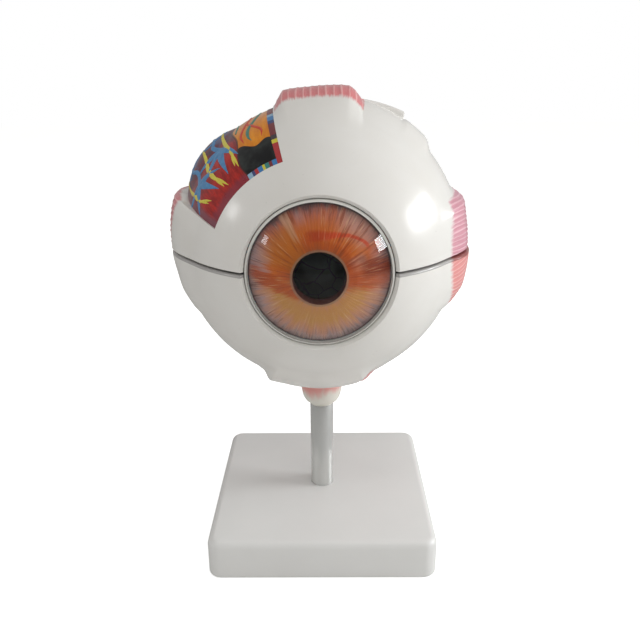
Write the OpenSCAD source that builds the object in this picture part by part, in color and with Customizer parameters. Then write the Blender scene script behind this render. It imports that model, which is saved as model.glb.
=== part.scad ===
// Eye anatomy model, about six times life size, on a square stand.
// The eyeball turns on its post, lifts off it, and comes apart layer by layer:
// cornea forwards, then upper sclera, upper choroid, lens, vitreous body and
// lower choroid straight up.
// Z is up, the pupil looks along -Y, and the post's axis meets the underside
// of the base at the origin. All sizes are in millimetres.

/* [Stand] */
// Width and depth of the square base
base_w = 120; // [100:1:160]
// Thickness of the base
base_t = 22; // [18:1:30]
// Radius of the base's upright corners
base_corner_r = 7; // [5:0.5:14]
// Radius along the base's top edges
base_top_r = 4; // [2:0.5:5]
// Radius along the base's bottom edges
base_foot_r = 2; // [1:0.5:3]
// Diameter of the post
post_d = 13; // [11:0.5:16]
// Length of post that shows above the base
post_show = 51.5; // [35:0.5:80]
// Depth of the post's seat in the base
post_seat = 3; // [2:0.5:5]
// Diameter of the pivot at the post's top
pivot_d = 8; // [6:0.5:9]
// Length of the pivot above the post's shoulder
pivot_l = 19; // [16:0.5:20.5]
// Chamfer round the pivot's top
pivot_chamfer = 1; // [0.5:0.25:1.5]

/* [Base bolt] */
// Diameter of the bolt's shank
bolt_d = 6; // [5:0.5:8]
// Length of thread inside the post
bolt_reach = 12; // [8:1:20]
// Diameter of the bolt's head
bolt_head_d = 10; // [9:0.5:13]
// Height of the bolt's head
bolt_head_h = 6; // [4:0.5:7]
// Width across the flats of the key socket
bolt_key = 5; // [4:0.5:6]
// Diameter of the washer
washer_d = 12.5; // [12:0.5:16]
// Thickness of the washer
washer_t = 1.6; // [1:0.1:2]
// Gap around the washer in its recess
recess_gap = 1.25; // [0.5:0.25:3]
// Distance of the bolt's head above the underside
head_sink = 1.4; // [0.5:0.1:3]

/* [Collar] */
// Thickness of the thrust washer
thrust_t = 1; // [0.5:0.1:2]
// Height of the collar below the eyeball
collar_h = 15; // [14:0.5:24]
// Diameter of the collar's top
collar_top_d = 25; // [22:0.5:34]
// Diameter of the plug that fixes the collar in the eyeball
plug_d = 18; // [16:0.5:20]
// Height of that plug
plug_h = 7; // [5:0.5:7]
// Width of the flat land on the eyeball round the collar's top
collar_land = 1; // [0.5:0.25:2]
// Thickness of the plug's end above the pivot's bore
plug_roof = 1.8; // [1:0.1:3]

/* [Eyeball] */
// Outer radius of the sclera
eye_r = 72; // [60:1:85]
// Wall of the sclera
sclera_t = 5; // [4:0.1:6]
// Wall of the choroid
choroid_t = 3.6; // [3:0.1:4.5]
// Height of the dark gap between the sclera's halves
seam_gap = 1.2; // [0.6:0.1:2]
// Width of the lip inside that gap
lip_w = 2; // [1.5:0.1:2.5]
// Height of the lip inside that gap
lip_h = 2.5; // [2:0.1:4]
// Diameter of the sclera's locating pins
pin_d = 3; // [2:0.5:4]
// Length of pin on each side of the seam
pin_reach = 6; // [4:0.5:8]
// Diameter of the choroid's locating pins
small_pin_d = 1.6; // [1.2:0.1:2]
// Length of small pin on each side of the seam
small_pin_reach = 3; // [2:0.5:5]

/* [Cornea and iris] */
// Outer radius of the cornea's rim
cornea_r = 33.5; // [26:0.5:38]
// Radius of the cornea's dome
cornea_curve_r = 42.5; // [40:0.5:55]
// Wall of the cornea
cornea_t = 1.4; // [1:0.1:2]
// Depth of the cornea's rim below the sclera's surface
cornea_inset = 2.4; // [1.5:0.1:3]
// Gap between the cornea's skirt and the choroid's front edge
cornea_seat_gap = 0.9; // [0.3:0.1:0.9]
// Width of the white bevel round the cornea
bevel_w = 1.6; // [1:0.1:3]
// Radius of the iris's front surface
iris_curve_r = 58; // [50:1:70]
// Wall of the iris
iris_t = 1.8; // [1:0.1:2.5]
// Depth of the iris's edge behind the cornea's rim
iris_setback = 1.1; // [0.8:0.1:2]
// Length of the iris's rim
iris_rim = 2.2; // [1.5:0.1:3]
// Radius of the pupil
pupil_r = 11.8; // [6:0.2:16]

/* [Lens and vitreous body] */
// Wall of the hollow vitreous body
vitreous_t = 2.5; // [1.5:0.1:4]
// Radius of the lens at its equator
lens_r = 24; // [18:0.5:26]
// Height of the lens in front of its equator
lens_front_h = 7.5; // [5:0.5:8]
// Depth of the lens behind its equator
lens_back_h = 10; // [7:0.5:12]
// Thickness of the lens's edge
lens_edge = 1.6; // [1:0.1:3]
// Half the thickness of the ciliary ring's inner edge
ciliary_nose = 1.1; // [0.8:0.1:2]
// Height of the ciliary ring in front of the lens's equator
ciliary_front = 4.4; // [3:0.1:5]
// Width of the ciliary ring's front face that lies inside the iris's edge
ciliary_lap = 3; // [2:0.1:5]

/* [Muscles and optic nerve] */
// Height of the superior rectus above the sclera
superior_h = 7; // [3:0.5:8]
// Height of the medial rectus above the sclera
medial_h = 4.6; // [3:0.1:8]
// Height of the lateral rectus above the sclera
lateral_h = 5.8; // [3:0.1:8]
// Height of the inferior rectus pad below the sclera
inferior_h = 4.5; // [3:0.5:8]
// Height of the superior oblique above the sclera
superior_oblique_h = 4.8; // [2:0.1:6]
// Height of the superior oblique's tendon above the sclera
oblique_tendon_h = 2.3; // [1:0.1:4]
// Height of the inferior oblique above the sclera
inferior_oblique_h = 3.4; // [2:0.1:6]
// Radius of the optic nerve's sheath
nerve_r = 11; // [9:0.5:13]
// Radius of the nerve inside its sheath
nerve_core_r = 7.6; // [5:0.1:8.5]
// Length of the sheath outside the sclera
nerve_out = 13; // [8:1:30]
// Length of the nerve beyond its sheath
nerve_core_out = 4; // [2:0.5:8]
// Angle of the nerve towards the nose
nerve_yaw = 15; // [8:1:20]

/* [Window] */
// Angle from the pupil's axis to the window's front edge
window_front = 44.5; // [42:0.5:60]
// Angle from the pupil's axis to the window's back edge
window_back = 112; // [100:1:125]
// Angle from the top to the window's edge beside the superior rectus
window_in = 18; // [18:0.5:25]
// Angle from the top to the window's edge beside the lateral rectus
window_out = 68.5; // [55:0.5:69]
// Depth of the painted panel below the sclera at the window's front edge
window_sink = 1.5; // [1:0.1:2]
// Height of the swelling in the panel's outer part above the sclera
window_crown = 3; // [1:0.1:5]
// Radius of that swelling
window_swell_r = 34; // [32:1:60]

/* [Clearances] */
// Gap between pieces that lift apart
lift_gap = 0.35; // [0.3:0.05:0.6]
// Gap all round the bolt in the base and the washer
bolt_gap = 0.2; // [0.15:0.05:0.5]
// Gap for glue between pieces fixed in one another
glue_gap = 0.1; // [0.05:0.05:0.2]
// Gap all round a turning pivot
turn_gap = 0.05; // [0.02:0.01:0.1]
// Gap between halves that rest on each other
rest_gap = 0.3; // [0.1:0.05:0.4]

/* [Hidden] */
$fn = 96;
// Larger than the whole model, for cutting it in halves
big = 400;
// A cut runs this far past the faces it opens
past = 1;

// Heights of the stand, from the underside up
recess_h = head_sink + bolt_head_h + washer_t;
shoulder_z = base_t + post_show;
collar_z = shoulder_z + thrust_t;
pad_z = collar_z + collar_h;
eye_z = pad_z + eye_r + inferior_h;

// Nested radii of the eyeball
sclera_in_r = eye_r - sclera_t;
choroid_r = sclera_in_r - lift_gap;
choroid_in_r = choroid_r - choroid_t;
vitreous_r = choroid_in_r - lift_gap;

// Distance along the pupil's axis at which a sphere has the radius r
function axis_at(sphere_r, r) = sqrt(sphere_r * sphere_r - r * r);

// The front: opening of the sclera, cornea and iris, as radii and axis places
opening_r = cornea_r + lift_gap;
bevel_r = opening_r + bevel_w;
bevel_front = axis_at(eye_r, bevel_r);
cornea_edge = axis_at(eye_r, cornea_r) - cornea_inset;
cornea_centre = cornea_edge - axis_at(cornea_curve_r, cornea_r);
cornea_in_r = cornea_r - cornea_t;
cornea_foot = axis_at(choroid_r, cornea_in_r) + cornea_seat_gap;
iris_r = cornea_in_r - lift_gap;
iris_edge = cornea_edge - iris_setback;
iris_centre = iris_edge - axis_at(iris_curve_r, iris_r);
iris_back = iris_edge - iris_rim;

// The lens lies just behind the iris's rim and clears it as it lifts
lens_pass = 1;
lens_at = iris_back - lens_pass - lens_front_h;
lens_front_curve = cap_radius(lens_r, lens_front_h - lens_edge / 2);
lens_back_curve = cap_radius(lens_r, lens_back_h - lens_edge / 2);
lens_front_centre = lens_at + lens_front_h - lens_front_curve;
lens_back_centre = lens_at - lens_back_h + lens_back_curve;
ciliary_r = lens_r + lift_gap;
ciliary_back = lens_at - ciliary_nose;
vitreous_front = ciliary_back - 2 * lift_gap;

// Radius of a sphere whose cap of the given height has the given rim radius
function cap_radius(rim, height) = (rim * rim + height * height) / (2 * height);

// Muscle stumps: [angle from the top towards the temple, half width, front edge,
// where full height starts, cut end]; the last three are angles from the pupil
superior_rectus = [0, 17.5, 60, 87, 112];
medial_rectus = [-89.5, 23, 57, 74, 114];
lateral_rectus = [90.5, 22.8, 57, 78, 114];
inferior_rectus = [180, 22.5, 61, 66, 113];
superior_oblique = [-25.5, 8.4, 66, 84, 104];
oblique_tendon = [-41, 8, 68, 86, 100];
inferior_oblique = [128, 13, 98, 108, 128];
// Depth to which a stump is rooted in the sclera's wall
root = 1.5;
// Depth below the sclera's surface at which a stump's front edge starts
stump_start = 0.3;
stump_steps = 9;
// The swelling's crown: angle from the pupil's axis and angle from the top
swell_place = [92, 53];

// Angles round the eyeball of the choroid's three pins, from the nasal side
small_pin_angles = [-35, 90, 215];
// The collar's flare: [share of its height, share of its width]
collar_flare = [[0, 0.08], [0.04, 0.26], [0.1, 0.43], [0.26, 0.64], [0.46, 0.76], [0.66, 0.84], [1, 1]];

// ---------------------------------------------------------------- helpers

// Turns an axis frame, with its Z along the pupil's axis and Y up, to the eye
module on_axis() {
    rotate([90, 0, 0]) children();
}

module at_eye() {
    translate([0, 0, eye_z]) children();
}

module above(z) {
    intersection() {
        children();
        translate([-big / 2, -big / 2, z]) cube(big);
    }
}

module below(z) {
    intersection() {
        children();
        translate([-big / 2, -big / 2, z - big]) cube(big);
    }
}

module ring(r_out, r_in, h) {
    difference() {
        cylinder(r = r_out, h = h);
        translate([0, 0, -past]) cylinder(r = r_in, h = h + 2 * past);
    }
}

// A point on a meridian, from its distance to the centre and angle to the pupil
function meridian(r, angle) = [r * sin(angle), r * cos(angle)];

function ease(x) = let (t = max(0, min(1, x))) t * t * (3 - 2 * t);

// Sweeps a meridian outline round the pupil's axis between two angles from the top
module round_axis(from, to) {
    on_axis() rotate([0, 0, 90 + from]) rotate_extrude(angle = to - from) children();
}

module stump(place, height) {
    front = place[2];
    span = place[4] - front;
    low = eye_r - stump_start;
    outer = [
        for (i = [0 : stump_steps])
            let (a = front + span * i / stump_steps)
            let (share = ease((a - front) / (place[3] - front)))
            meridian(low + (height + stump_start) * share, a)
    ];
    inner = [
        for (i = [stump_steps : -1 : 0])
            meridian(eye_r - root, front + span * i / stump_steps)
    ];
    round_axis(place[0] - place[1], place[0] + place[1]) polygon(concat(outer, inner));
}

// The block of space that the window takes up, down to the given radius
module window_space(r_low) {
    r_high = eye_r + 2 * window_crown + superior_h;
    steps = 6;
    span = window_back - window_front;
    outer = [for (i = [0 : steps]) meridian(r_high, window_front + span * i / steps)];
    inner = [for (i = [steps : -1 : 0]) meridian(r_low, window_front + span * i / steps)];
    round_axis(window_in, window_out) polygon(concat(outer, inner));
}

// The ball whose cap is the swelling of the choroid in the window's outer part
module window_swelling() {
    swell_out = eye_r + window_crown - window_swell_r;
    rotate([0, -swell_place[1], 0])
        translate([0, -swell_out * cos(swell_place[0]), swell_out * sin(swell_place[0])])
            sphere(r = window_swell_r);
}

module front_opening() {
    on_axis() {
        cylinder(r = opening_r, h = eye_r);
        translate([0, 0, bevel_front - bevel_w])
            cylinder(r1 = opening_r, r2 = bevel_r, h = bevel_w);
        translate([0, 0, bevel_front]) cylinder(r = bevel_r, h = eye_r);
    }
}

module nerve_axis() {
    rotate([0, 0, -nerve_yaw]) rotate([-90, 0, 0]) children();
}

// Places the sclera's two pins in the thick medial and lateral stumps
module at_pins() {
    pin_x = sclera_in_r + lip_w + rest_gap + pin_d;
    for (side = [-1, 1]) translate([side * pin_x, 0, 0]) children();
}

module at_small_pins() {
    for (a = small_pin_angles)
        rotate([0, 0, a]) translate([choroid_in_r + choroid_t / 2, 0, 0]) children();
}

// ------------------------------------------------------------------ stand

// Half the section of the base through an upright corner, rounded top and bottom
module base_section(w) {
    intersection() {
        square([w, base_t]);
        union() {
            translate([0, base_foot_r]) square([w, base_t - base_foot_r - base_top_r]);
            square([w - base_foot_r, base_t - base_top_r]);
            square([w - base_top_r, base_t]);
            translate([w - base_foot_r, base_foot_r]) circle(r = base_foot_r);
            translate([w - base_top_r, base_t - base_top_r]) circle(r = base_top_r);
        }
    }
}

module base_bar(turn) {
    reach = base_w / 2 - base_corner_r;
    rotate([0, 0, turn]) translate([0, reach, 0]) rotate([90, 0, 0])
        linear_extrude(height = 2 * reach)
            union() {
                base_section(base_w / 2);
                mirror([1, 0]) base_section(base_w / 2);
            }
}

module base() {
    corner = base_w / 2 - base_corner_r;
    color("whitesmoke") difference() {
        union() {
            base_bar(0);
            base_bar(90);
            for (x = [-1, 1], y = [-1, 1])
                translate([x * corner, y * corner, 0])
                    rotate_extrude() base_section(base_corner_r);
        }
        translate([0, 0, base_t - post_seat]) cylinder(d = post_d + 2 * glue_gap, h = base_t);
        translate([0, 0, -past]) cylinder(d = bolt_d + 2 * bolt_gap, h = base_t);
        translate([0, 0, -past]) cylinder(d = washer_d + 2 * recess_gap, h = recess_h + past);
    }
}

module post() {
    foot = base_t - post_seat;
    color("silver") difference() {
        union() {
            translate([0, 0, foot]) cylinder(d = post_d, h = shoulder_z - foot);
            translate([0, 0, shoulder_z]) cylinder(d = pivot_d, h = pivot_l - pivot_chamfer);
            translate([0, 0, shoulder_z + pivot_l - pivot_chamfer])
                cylinder(d1 = pivot_d, d2 = pivot_d - 2 * pivot_chamfer, h = pivot_chamfer);
        }
        translate([0, 0, foot - past])
            cylinder(d = bolt_d + 2 * glue_gap, h = bolt_reach + 2 * past);
    }
}

module post_bolt() {
    length = base_t - post_seat + bolt_reach - head_sink - bolt_head_h;
    key_depth = bolt_head_h / 2;
    color("gray") difference() {
        union() {
            translate([0, 0, head_sink]) cylinder(d = bolt_head_d, h = bolt_head_h);
            translate([0, 0, head_sink + bolt_head_h]) cylinder(d = bolt_d, h = length);
        }
        translate([0, 0, head_sink - past])
            cylinder(d = bolt_key / cos(30), h = key_depth + past, $fn = 6);
    }
}

module post_washer() {
    color("silver") translate([0, 0, recess_h - washer_t])
        ring(washer_d / 2, bolt_d / 2 + bolt_gap, washer_t);
}

module thrust_washer() {
    color("ivory") translate([0, 0, shoulder_z]) ring(post_d / 2, pivot_d / 2 + turn_gap, thrust_t);
}

// ---------------------------------------------------------------- eyeball

module support_collar() {
    low = post_d / 2;
    flare = collar_top_d / 2 - low;
    outline = concat(
        [[0, 0]],
        [for (p = collar_flare) [low + flare * p[1], collar_h * p[0]]],
        [[plug_d / 2, collar_h], [plug_d / 2, collar_h + plug_h], [0, collar_h + plug_h]]
    );
    bore_h = collar_h + plug_h - plug_roof;
    color("mistyrose") translate([0, 0, collar_z]) difference() {
        rotate_extrude() polygon(outline);
        translate([0, 0, -past]) cylinder(d = pivot_d + 2 * turn_gap, h = bore_h + past);
    }
}

module lower_sclera() {
    color("white") at_eye() difference() {
        union() {
            below(0) union() {
                sphere(r = eye_r);
                stump(medial_rectus, medial_h);
                stump(lateral_rectus, lateral_h);
                stump(inferior_rectus, inferior_h);
                stump(inferior_oblique, inferior_oblique_h);
            }
            cylinder(r = sclera_in_r + lip_w, h = lip_h);
        }
        sphere(r = sclera_in_r);
        cylinder(r = sclera_in_r, h = lip_h + past);
        front_opening();
        nerve_axis() cylinder(r = nerve_r + glue_gap, h = big);
        at_pins() translate([0, 0, -pin_reach]) cylinder(d = pin_d, h = big);
        translate([0, 0, -eye_z + pad_z - past])
            cylinder(d = plug_d + 2 * glue_gap, h = plug_h + glue_gap + past);
        // Flat land on the pad for the collar to bear on
        translate([0, 0, -eye_r - inferior_h - big])
            cylinder(d = collar_top_d + 2 * collar_land, h = big);
    }
}

module upper_sclera() {
    color("white") at_eye() difference() {
        above(seam_gap) union() {
            difference() {
                union() {
                    sphere(r = eye_r);
                    stump(superior_rectus, superior_h);
                    stump(medial_rectus, medial_h);
                    stump(lateral_rectus, lateral_h);
                    stump(superior_oblique, superior_oblique_h);
                    stump(oblique_tendon, oblique_tendon_h);
                }
                window_space(eye_r - window_sink);
            }
            window_swelling();
        }
        sphere(r = sclera_in_r);
        cylinder(r = sclera_in_r + lip_w + lift_gap, h = lip_h + rest_gap);
        front_opening();
        nerve_axis() cylinder(r = nerve_r + lift_gap, h = big);
        at_pins() cylinder(d = pin_d + 2 * lift_gap, h = pin_reach + rest_gap);
    }
}

module optic_nerve() {
    from = sclera_in_r + lift_gap;
    core = eye_r + nerve_out;
    color("khaki") at_eye() nerve_axis() union() {
        translate([0, 0, from]) cylinder(r = nerve_r, h = core - from);
        translate([0, 0, core]) cylinder(r = nerve_core_r, h = nerve_core_out);
    }
}

module locating_pins() {
    color("silver") at_eye() at_pins()
        translate([0, 0, -pin_reach]) cylinder(d = pin_d, h = 2 * pin_reach);
}

// Half the section of a solid dome that ends in a straight skirt down to its foot
module dome_section(curve_r, rim_r, foot) {
    intersection() {
        translate([0, cornea_centre]) circle(r = curve_r);
        translate([0, foot]) square([rim_r, eye_r]);
    }
}

module cornea() {
    color("lightcyan", 0.3) at_eye() on_axis() rotate_extrude() difference() {
        dome_section(cornea_curve_r, cornea_r, cornea_foot);
        dome_section(cornea_curve_r - cornea_t, cornea_in_r, cornea_foot - past);
    }
}

module iris() {
    color("darkorange") at_eye() on_axis() difference() {
        intersection() {
            translate([0, 0, iris_centre]) sphere(r = iris_curve_r);
            translate([0, 0, iris_back]) cylinder(r = iris_r, h = eye_r);
        }
        intersection() {
            translate([0, 0, iris_centre]) sphere(r = iris_curve_r - iris_t);
            cylinder(r = iris_r - iris_t, h = eye_r);
        }
        cylinder(r = pupil_r, h = 2 * eye_r);
    }
}

module choroid_shell() {
    difference() {
        sphere(r = choroid_r);
        sphere(r = choroid_in_r);
        on_axis() cylinder(r = iris_r + lift_gap, h = eye_r);
    }
}

module lower_choroid() {
    color("firebrick") at_eye() difference() {
        below(0) choroid_shell();
        at_small_pins() translate([0, 0, -small_pin_reach]) cylinder(d = small_pin_d, h = big);
    }
}

module upper_choroid() {
    color("firebrick") at_eye() difference() {
        above(rest_gap) choroid_shell();
        at_small_pins() cylinder(d = small_pin_d + 2 * lift_gap, h = small_pin_reach + rest_gap);
    }
}

module choroid_pins() {
    color("silver") at_eye() at_small_pins()
        translate([0, 0, -small_pin_reach]) cylinder(d = small_pin_d, h = 2 * small_pin_reach);
}

// The folded ring round the lens, glued inside the choroid
module ciliary_ring() {
    front = lens_at + ciliary_front;
    intersection() {
        on_axis() rotate_extrude() polygon([
            [ciliary_r, ciliary_back],
            [ciliary_r, lens_at + ciliary_nose],
            [iris_r - ciliary_lap, front],
            [choroid_in_r, front],
            [choroid_in_r, ciliary_back]
        ]);
        sphere(r = choroid_in_r - glue_gap);
    }
}

module lower_ciliary_ring() {
    color("sienna") at_eye() below(0) ciliary_ring();
}

module upper_ciliary_ring() {
    color("sienna") at_eye() above(rest_gap) ciliary_ring();
}

// The vitreous body's form, drawn in by the given amount all over. Its pocket takes
// the back of the lens and is open at the top, so that the lens lifts straight out.
module vitreous_form(inset) {
    pocket_r = lens_back_curve + lift_gap + inset;
    difference() {
        on_axis() intersection() {
            sphere(r = vitreous_r - inset);
            translate([0, 0, vitreous_front - inset - big]) cylinder(r = eye_r, h = big);
        }
        translate([0, -lens_back_centre, 0]) {
            below(0) sphere(r = pocket_r);
            cylinder(r = pocket_r, h = eye_r);
        }
    }
}

module vitreous_body() {
    color("paleturquoise", 0.4) at_eye() difference() {
        vitreous_form(0);
        vitreous_form(vitreous_t);
    }
}

module lens() {
    color("aliceblue", 0.5) at_eye() on_axis() intersection() {
        translate([0, 0, lens_front_centre]) sphere(r = lens_front_curve);
        translate([0, 0, lens_back_centre]) sphere(r = lens_back_curve);
        translate([0, 0, lens_at - lens_r]) cylinder(r = lens_r, h = 2 * lens_r);
    }
}

base();
post();
post_bolt();
post_washer();
thrust_washer();
support_collar();
lower_sclera();
upper_sclera();
optic_nerve();
locating_pins();
cornea();
iris();
lower_choroid();
upper_choroid();
choroid_pins();
lower_ciliary_ring();
upper_ciliary_ring();
vitreous_body();
lens();
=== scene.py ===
"""The looks of the eye anatomy model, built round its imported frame.

Lengths are in millimetres until a mesh is made, and angles in degrees. A place on the
eyeball is given by theta, its angle from the pupil's axis, and phi, its angle round that
axis: 0 at the top, 90 towards the temple (-X), 180 at the bottom and -90 at the nose (+X).
"""

import math
from collections import namedtuple

import bmesh
import bpy
import numpy as np
from mathutils import Matrix, Vector


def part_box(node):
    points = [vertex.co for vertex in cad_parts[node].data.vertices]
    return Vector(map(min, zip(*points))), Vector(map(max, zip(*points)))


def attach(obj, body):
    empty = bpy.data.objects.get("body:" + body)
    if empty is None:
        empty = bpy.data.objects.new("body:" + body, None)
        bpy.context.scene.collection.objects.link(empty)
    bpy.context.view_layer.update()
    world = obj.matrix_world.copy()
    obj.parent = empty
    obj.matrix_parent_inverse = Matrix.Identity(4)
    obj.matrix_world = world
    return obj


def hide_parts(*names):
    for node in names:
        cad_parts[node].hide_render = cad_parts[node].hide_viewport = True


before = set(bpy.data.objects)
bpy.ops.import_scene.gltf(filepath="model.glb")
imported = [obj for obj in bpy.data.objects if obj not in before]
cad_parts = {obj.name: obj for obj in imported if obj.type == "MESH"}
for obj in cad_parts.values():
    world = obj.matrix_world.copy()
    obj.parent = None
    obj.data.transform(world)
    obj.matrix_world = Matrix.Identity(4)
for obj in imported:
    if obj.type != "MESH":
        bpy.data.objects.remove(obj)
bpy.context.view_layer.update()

MM = 0.001


def node_box(node):
    """Lowest and highest corner of a CAD node, in millimetres."""
    low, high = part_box(node)
    return np.array(low) / MM, np.array(high) / MM


# ------------------------------------------------------------ sizes from the frame

cornea_low, cornea_high = node_box("cornea")
EYE_Z = (cornea_low[2] + cornea_high[2]) / 2
EYE_CENTRE = np.array([0, 0, EYE_Z])
CORNEA_R = (cornea_high[0] - cornea_low[0]) / 2
CORNEA_APEX, CORNEA_FOOT = -cornea_low[1], -cornea_high[1]
CORNEA_CURVE_R, CORNEA_T, CORNEA_CLEAR_R = 42.5, 1.4, 32.4
EYE_R = node_box("lower_sclera")[1][1]
CHOROID_R = node_box("lower_choroid")[1][1]
LIFT_GAP = 0.35
SCLERA_IN_R = CHOROID_R + LIFT_GAP
# The upper half stands this far above the eye's centre. Its seam's edge is rounded less.
SEAM_GAP = 1.2
SEAM_ROUND = {True: 0.35, False: 1.2}
OPENING_R = CORNEA_R + LIFT_GAP
BEVEL_W = 1.6
BEVEL_R = OPENING_R + BEVEL_W
NERVE_YAW, NERVE_R, NERVE_OUT = 15.0, 11.0, 13.0
NERVE_WAY = (math.sin(math.radians(NERVE_YAW)), math.cos(math.radians(NERVE_YAW)), 0.0)
NERVE_CORE_R, NERVE_CORE_OUT = 7.6, 4.0
LIP_W, LIP_H, PIN_D, PIN_REACH, REST_GAP = 2.0, 2.5, 3.0, 6.0, 0.3
SHARP_SHELL = 38.0

# The window in the upper half, by angle, and the choroid that swells out of it
WINDOW = dict(front=44.5, back=112.0, inner=18.0, outer=68.5)
WINDOW_R = EYE_R - 1.5
SWELL_PLACE, SWELL_R, SWELL_CROWN = (92.0, 53.0), 34.0, 3.0

# A muscle's stump on one half of the sclera. mid: its middle angle round the axis. across: its
# section, as (angle from the middle, height). front, full, end: where it starts, reaches its
# height and is cut off. pitch, slant: how far apart its ribs are and how much they lean.
# edge: where its paint starts, as theta at the middle, lean and curve. tone: 0 salmon, 0.5
# rose, 1 mauve.
Muscle = namedtuple("Muscle", "upper mid across front full end pitch slant edge tone")
MUSCLES = {
    "superior_rectus": Muscle(
        True, 0,
        [(-17.5, 0), (-16, 3.2), (-11.5, 7.4), (-9, 7.4), (-3, 6.5), (4, 5.9), (13.3, 6.3), (18, 0)],
        58, 87, 112, 3.4, 0, (75.5, 0, 0), 0.5),
    "medial_rectus_above": Muscle(
        True, -90, [(-6, 3.7), (2, 3.8), (13, 4.1), (18.5, 4.8), (24, 0)],
        54, 76, 114, 2.3, -0.12, (59.4, -0.064, 0.016), 1.0),
    "medial_rectus_below": Muscle(
        False, -90, [(-26, 0), (-21, 2.4), (-14, 4.55), (6, 4.55)],
        54, 74, 114, 2.5, 0.25, (59.4, -0.064, 0.016), 0.0),
    "lateral_rectus_above": Muscle(
        True, 90, [(-23.2, 0), (-21.2, 6.1), (-17, 6.2), (-8.4, 5.3), (-2.8, 4.6), (6, 3.7)],
        54, 80, 114, 2.8, 0.1, (76.9, 0.22, 0), 0.6),
    "lateral_rectus_below": Muscle(
        False, 90, [(-6, 4.2), (1.9, 4.1), (8.5, 3.3), (15.8, 3.1), (23.9, 1.4), (27, 0)],
        54, 80, 114, 2.8, -0.1, (80, 0.1, 0), 0.5),
    "inferior_rectus": Muscle(
        False, 180,
        [(-29, 0), (-25.3, 1.1), (-22.1, 4.9), (-15.7, 4.3), (0, 4.6), (15, 4.1), (19, 3.8), (22.2, 1.7),
         (24.5, 0.7), (29, 0.3), (32, 0)],
        48, 70, 113, 3.2, 0, (78, -0.75, 0), 0.4),
    "inferior_oblique": Muscle(
        False, 128, [(-13, 0), (-9, 3.2), (0, 3.4), (9, 3.2), (13, 0)],
        98, 108, 128, 2.6, 0, (99, 0, 0), 0.5),
}
RIB_DEPTH = 0.24
COLLAR_PLUG_H, COLLAR_PLUG_R, COLLAR_BORE_R = 7.0, 9.0, 4.05
collar_low, collar_high = node_box("support_collar")
COLLAR_H = collar_high[2] - collar_low[2] - COLLAR_PLUG_H


# --------------------------------------------------------------------- geometry

def ease(x):
    t = np.clip(x, 0, 1)
    return t * t * (3 - 2 * t)


def wrapped(angle):
    """The angle between -180 and 180."""
    return (np.asarray(angle, float) + 180) % 360 - 180


def round_axis(rho, s, phi):
    """Points from their distance to the pupil's axis, place along it and angle round it."""
    p = np.radians(phi)
    rho, s, p = np.broadcast_arrays(rho, s, p)
    return np.stack([-rho * np.sin(p), -s, EYE_Z + rho * np.cos(p)], -1)


def on_eye(theta, phi, r):
    t = np.radians(theta)
    return round_axis(r * np.sin(t), r * np.cos(t), phi)


def angles_of(points):
    """theta, phi and radius of points in millimetres."""
    x, y, z = points[:, 0], points[:, 1], points[:, 2] - EYE_Z
    r = np.sqrt(x * x + y * y + z * z)
    theta = np.degrees(np.arccos(np.clip(-y / r, -1, 1)))
    return theta, np.degrees(np.arctan2(-x, z)), r


def new_mesh(name, points, faces, sharp=35.0):
    """A mesh object from points in millimetres, smooth but for edges over the sharp angle."""
    mesh = bpy.data.meshes.new(name)
    mesh.from_pydata((np.asarray(points, float) * MM).tolist(), [], faces)
    bm = bmesh.new()
    bm.from_mesh(mesh)
    bmesh.ops.remove_doubles(bm, verts=bm.verts, dist=1e-7)
    bmesh.ops.dissolve_degenerate(bm, dist=1e-8, edges=bm.edges)
    bmesh.ops.recalc_face_normals(bm, faces=bm.faces)
    bm.to_mesh(mesh)
    bm.free()
    mesh.shade_smooth()
    mesh.set_sharp_from_angle(angle=math.radians(sharp))
    piece = bpy.data.objects.new(name, mesh)
    bpy.context.scene.collection.objects.link(piece)
    return piece


def grid_faces(rows, cols, start=0, closed=False):
    """Faces of a grid of points stored row by row, whose columns may close in a ring."""
    faces = []
    for i in range(rows - 1):
        for j in range(cols if closed else cols - 1):
            a, b = start + i * cols + j, start + i * cols + (j + 1) % cols
            faces.append((a, b, b + cols, a + cols))
    return faces


def lathe(name, outline, segments=128, centre=(0, 0), axis="z", sharp=35.0):
    """Turns an outline of (radius, height) round Z, or round the pupil's axis. Its ends lie
    on the axis, or meet where the outline is a closed loop."""
    turn = np.linspace(0, 360, segments, endpoint=False)
    outline = np.asarray(outline, float)
    if axis == "eye":
        points = np.concatenate([round_axis(r, h, turn) for r, h in outline])
    else:
        t = np.radians(turn)
        points = np.concatenate([
            np.stack([centre[0] + r * np.cos(t), centre[1] + r * np.sin(t), np.full(segments, h)], -1)
            for r, h in outline
        ])
    return new_mesh(name, points, grid_faces(len(outline), segments, closed=True), sharp)


def stations(start, stop, steps, edges):
    """Grid lines from start to stop. steps is [(upper limit, step)], and each edge gets a
    close group of lines, so that a wall there stays crisp."""
    lines = [start, stop]
    at = start
    while at < stop:
        lines.append(at)
        at += next((step for limit, step in steps if at < limit), steps[-1][1])
    for edge in edges:
        lines += [edge + d for d in (-0.6, -0.3, -0.1, -0.02, 0.02, 0.1, 0.3, 0.6)]
    lines = sorted(x for x in lines if start <= x <= stop)
    kept = [lines[0]]
    for x in lines[1:]:
        if x - kept[-1] > 0.015:
            kept.append(x)
    kept[-1] = stop
    return np.array(kept)


# ------------------------------------------------------------- relief of the sclera

PER_DEGREE = EYE_R * math.pi / 180


def along_section(knots, at, soft=0.8):
    """The height at an angle on a section's knots, its corners softened."""
    angles, heights = zip(*knots)
    return sum(np.interp(at + d * soft, angles, heights, 0, 0) for d in (-1, -0.5, 0, 0.5, 1)) / 5


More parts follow.
